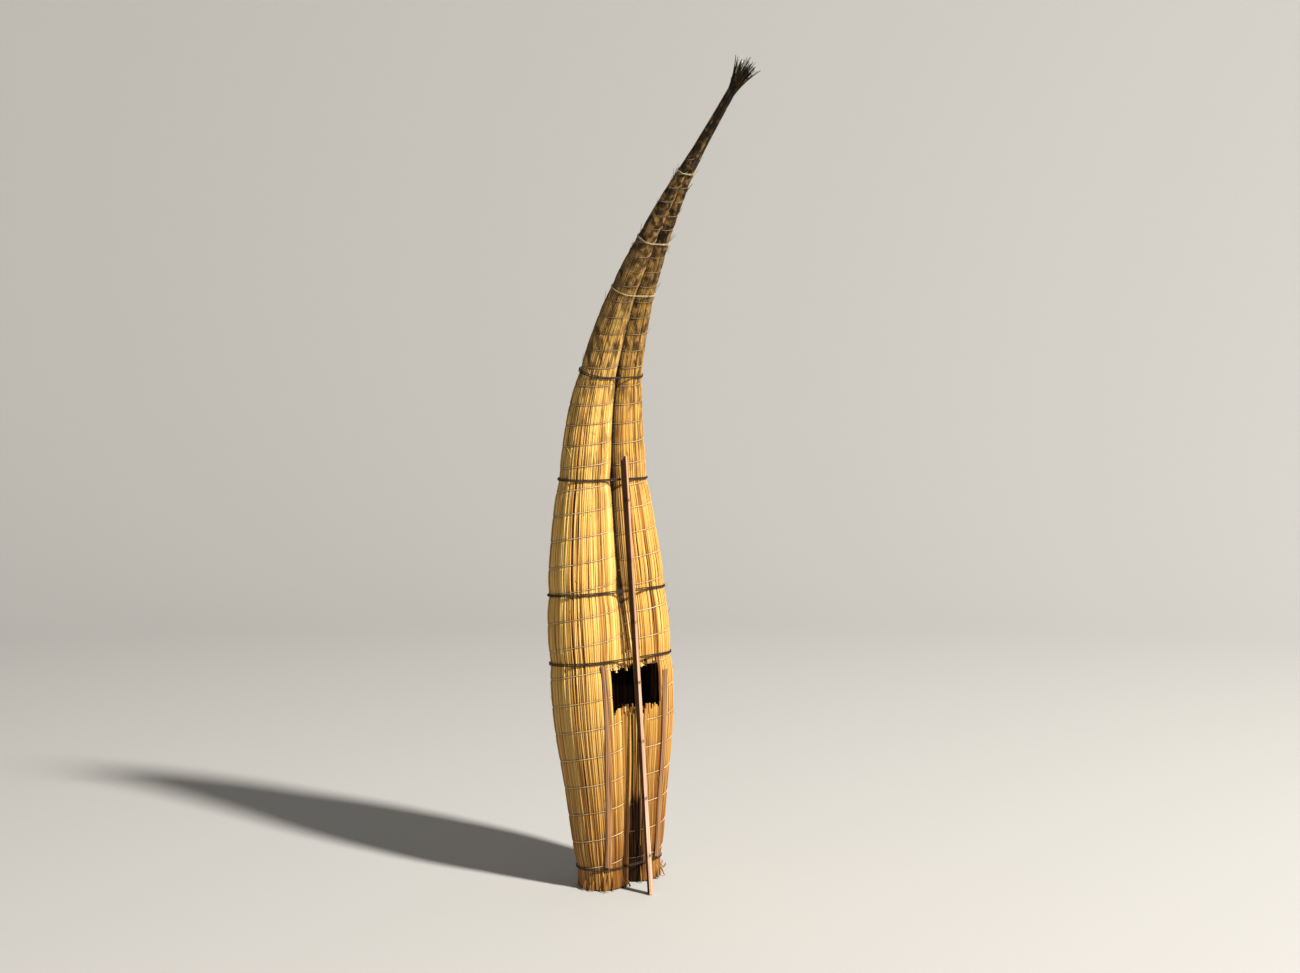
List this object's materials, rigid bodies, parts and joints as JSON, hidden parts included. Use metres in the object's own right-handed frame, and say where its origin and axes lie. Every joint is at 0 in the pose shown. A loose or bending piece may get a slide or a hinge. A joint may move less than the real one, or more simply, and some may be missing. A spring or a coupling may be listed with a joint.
{
  "type": "reed boat",
  "caption": "Slender bundled-reed boat standing on its stern, with upswept bow, open cockpit, cord lashings and a split cane paddle.",
  "frame": {"origin": "On the floor between the two main bundles, under the middle of the stern", "axes": "+Z along the boat from stern to bow, -Y the deck side, +X to the side"},
  "size_m": [0.7006, 1.1879, 3.9538],
  "materials": {
    "reed_main": "dry matt reed",
    "reed_upper": "dry matt reed",
    "reed_bow": "weathered reed",
    "reed_tuft": "weathered reed",
    "dark_cord": "tarred cord",
    "pale_cord": "dry reed cord",
    "cane_strip": "dry cane",
    "cane_paddle": "dry cane"
  },
  "bodies": {
    "root": {"madre_left": "reed_main", "madre_right": "reed_main", "hijo_left": "reed_upper", "hijo_right": "reed_upper", "stern_filler_left": "reed_upper", "stern_filler_right": "reed_upper", "bow_neck": "reed_bow", "bow_tuft": "reed_tuft", "lashings": "dark_cord", "bow_ties": "pale_cord", "batten_left": "cane_strip", "batten_right": "cane_strip", "paddle": "cane_paddle"}
  },
  "joints": []
}
